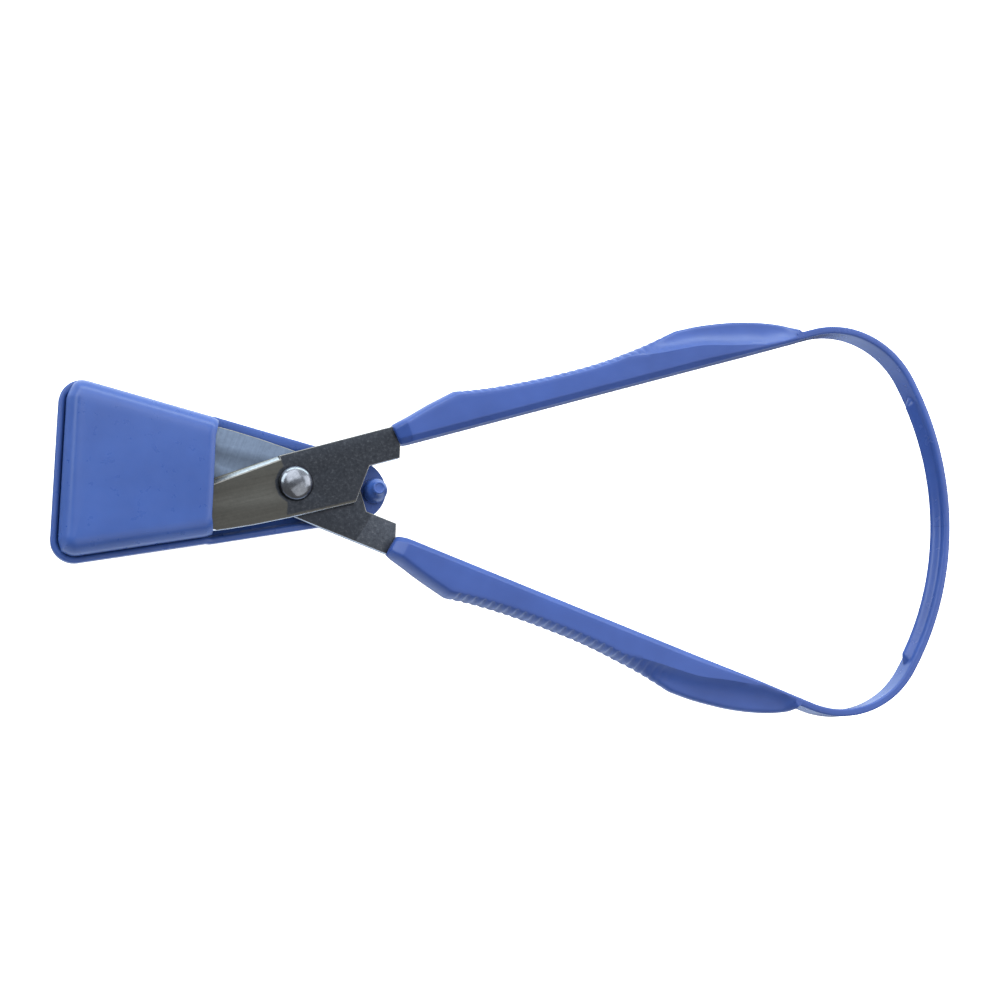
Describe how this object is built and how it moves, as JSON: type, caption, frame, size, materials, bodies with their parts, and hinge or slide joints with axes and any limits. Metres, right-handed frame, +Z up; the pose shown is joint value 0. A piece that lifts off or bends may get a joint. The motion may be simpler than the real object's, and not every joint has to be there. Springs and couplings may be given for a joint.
{
  "type": "self-opening loop scissors",
  "caption": "Self-opening scissors with a springy loop handle and a wedge-shaped blade sheath with a pocket, a flexing tongue and a locking stud.",
  "frame": {"origin": "middle of the whole object's underside, with the scissors and sheath lying flat", "axes": "+X along the bisector of the handles, from the sheath to the loop's end; +Y towards the upper grip, which carries the front blade; +Z up, out of the face with the rivet's head"},
  "size_m": [0.2092, 0.0924, 0.0088],
  "materials": {
    "handle_plastic": "moulded satin gloss, mid blue",
    "sheath_plastic": "moulded gloss, mid blue",
    "blade_steel": "tumbled grey stainless steel, ground and bright along the cutting edges",
    "rivet_steel": "polished domed head"
  },
  "bodies": {
    "front_half": {"front_blade": "blade_steel", "pivot_rivet": "rivet_steel", "upper_grip": "handle_plastic"},
    "rear_half": {"rear_blade": "blade_steel", "lower_grip": "handle_plastic"},
    "upper_band_1": {"upper_loop_1": "handle_plastic"},
    "upper_band_2": {"upper_loop_2": "handle_plastic"},
    "upper_band_3": {"upper_loop_3": "handle_plastic"},
    "upper_band_4": {"upper_loop_4": "handle_plastic"},
    "upper_band_5": {"upper_loop_5": "handle_plastic"},
    "upper_band_6": {"upper_loop_6": "handle_plastic"},
    "upper_band_7": {"upper_loop_7": "handle_plastic"},
    "lower_band_1": {"lower_loop_1": "handle_plastic"},
    "lower_band_2": {"lower_loop_2": "handle_plastic"},
    "lower_band_3": {"lower_loop_3": "handle_plastic"},
    "lower_band_4": {"lower_loop_4": "handle_plastic"},
    "lower_band_5": {"lower_loop_5": "handle_plastic"},
    "lower_band_6": {"lower_loop_6": "handle_plastic"},
    "lower_band_7": {"lower_loop_7": "handle_plastic"},
    "sheath": {"sheath_tray": "sheath_plastic", "sheath_cover": "sheath_plastic"},
    "tongue": {"sheath_tongue": "sheath_plastic", "sheath_stud": "sheath_plastic"}
  },
  "joints": [
    {"name": "blade_pivot", "type": "hinge", "parent": "front_half", "child": "rear_half", "pos_m": [-0.05305, 0, 0.0044], "axis": [0, 0, 1], "range_deg": [0, 31], "stiffness_Nm_per_rad": 0.7},
    {"name": "upper_flex_1", "type": "hinge", "parent": "front_half", "child": "upper_band_1", "pos_m": [0.06938, 0.04427, 0.0044], "axis": [0, 0, 1], "range_deg": [0, 43.41]},
    {"name": "upper_flex_2", "type": "hinge", "parent": "upper_band_1", "child": "upper_band_2", "pos_m": [0.07861, 0.04522, 0.0044], "axis": [0, 0, 1], "range_deg": [0, 43.41]},
    {"name": "upper_flex_3", "type": "hinge", "parent": "upper_band_2", "child": "upper_band_3", "pos_m": [0.08735, 0.04213, 0.0044], "axis": [0, 0, 1], "range_deg": [0, 3.67]},
    {"name": "upper_flex_4", "type": "hinge", "parent": "upper_band_3", "child": "upper_band_4", "pos_m": [0.09392, 0.03559, 0.0044], "axis": [0, 0, 1], "range_deg": [-27.28, 0]},
    {"name": "upper_flex_5", "type": "hinge", "parent": "upper_band_4", "child": "upper_band_5", "pos_m": [0.09819, 0.02728, 0.0044], "axis": [0, 0, 1], "range_deg": [-23.81, 0]},
    {"name": "upper_flex_6", "type": "hinge", "parent": "upper_band_5", "child": "upper_band_6", "pos_m": [0.10129, 0.01847, 0.0044], "axis": [0, 0, 1], "range_deg": [-14.18, 0]},
    {"name": "upper_flex_7", "type": "hinge", "parent": "upper_band_6", "child": "upper_band_7", "pos_m": [0.10317, 0.00932, 0.0044], "axis": [0, 0, 1], "range_deg": [-9.72, 0]},
    {"name": "lower_flex_1", "type": "hinge", "parent": "rear_half", "child": "lower_band_1", "pos_m": [0.06938, -0.04427, 0.0044], "axis": [0, 0, 1], "range_deg": [-43.41, 0]},
    {"name": "lower_flex_2", "type": "hinge", "parent": "lower_band_1", "child": "lower_band_2", "pos_m": [0.07861, -0.04522, 0.0044], "axis": [0, 0, 1], "range_deg": [-43.41, 0]},
    {"name": "lower_flex_3", "type": "hinge", "parent": "lower_band_2", "child": "lower_band_3", "pos_m": [0.08735, -0.04213, 0.0044], "axis": [0, 0, 1], "range_deg": [-3.67, 0]},
    {"name": "lower_flex_4", "type": "hinge", "parent": "lower_band_3", "child": "lower_band_4", "pos_m": [0.09392, -0.03559, 0.0044], "axis": [0, 0, 1], "range_deg": [0, 27.28]},
    {"name": "lower_flex_5", "type": "hinge", "parent": "lower_band_4", "child": "lower_band_5", "pos_m": [0.09819, -0.02728, 0.0044], "axis": [0, 0, 1], "range_deg": [0, 23.81]},
    {"name": "lower_flex_6", "type": "hinge", "parent": "lower_band_5", "child": "lower_band_6", "pos_m": [0.10129, -0.01847, 0.0044], "axis": [0, 0, 1], "range_deg": [0, 14.18]},
    {"name": "lower_flex_7", "type": "hinge", "parent": "lower_band_6", "child": "lower_band_7", "pos_m": [0.10317, -0.00932, 0.0044], "axis": [0, 0, 1], "range_deg": [0, 9.72]},
    {"name": "sheath_slide", "type": "slide", "parent": "front_half", "child": "sheath", "axis": [-1, 0, 0], "range_m": [0, 0.07]},
    {"name": "tongue_flex", "type": "hinge", "parent": "sheath", "child": "tongue", "pos_m": [-0.06805, 0, 0.00065], "axis": [0, 1, 0], "range_deg": [0, 10.51], "deforming": ["sheath_stud"]}
  ],
  "couplings": [
    {"joint": "upper_flex_1", "follows": "blade_pivot", "ratio": 1.4},
    {"joint": "upper_flex_2", "follows": "blade_pivot", "ratio": 1.4},
    {"joint": "upper_flex_3", "follows": "blade_pivot", "ratio": 0.1179},
    {"joint": "upper_flex_4", "follows": "blade_pivot", "ratio": -0.8796},
    {"joint": "upper_flex_5", "follows": "blade_pivot", "ratio": -0.7678},
    {"joint": "upper_flex_6", "follows": "blade_pivot", "ratio": -0.4572},
    {"joint": "upper_flex_7", "follows": "blade_pivot", "ratio": -0.3133},
    {"joint": "lower_flex_1", "follows": "blade_pivot", "ratio": -1.4},
    {"joint": "lower_flex_2", "follows": "blade_pivot", "ratio": -1.4},
    {"joint": "lower_flex_3", "follows": "blade_pivot", "ratio": -0.1179},
    {"joint": "lower_flex_4", "follows": "blade_pivot", "ratio": 0.8796},
    {"joint": "lower_flex_5", "follows": "blade_pivot", "ratio": 0.7678},
    {"joint": "lower_flex_6", "follows": "blade_pivot", "ratio": 0.4572},
    {"joint": "lower_flex_7", "follows": "blade_pivot", "ratio": 0.3133},
    {"joint": "tongue_flex", "follows": "blade_pivot", "ratio": 0.3387}
  ]
}
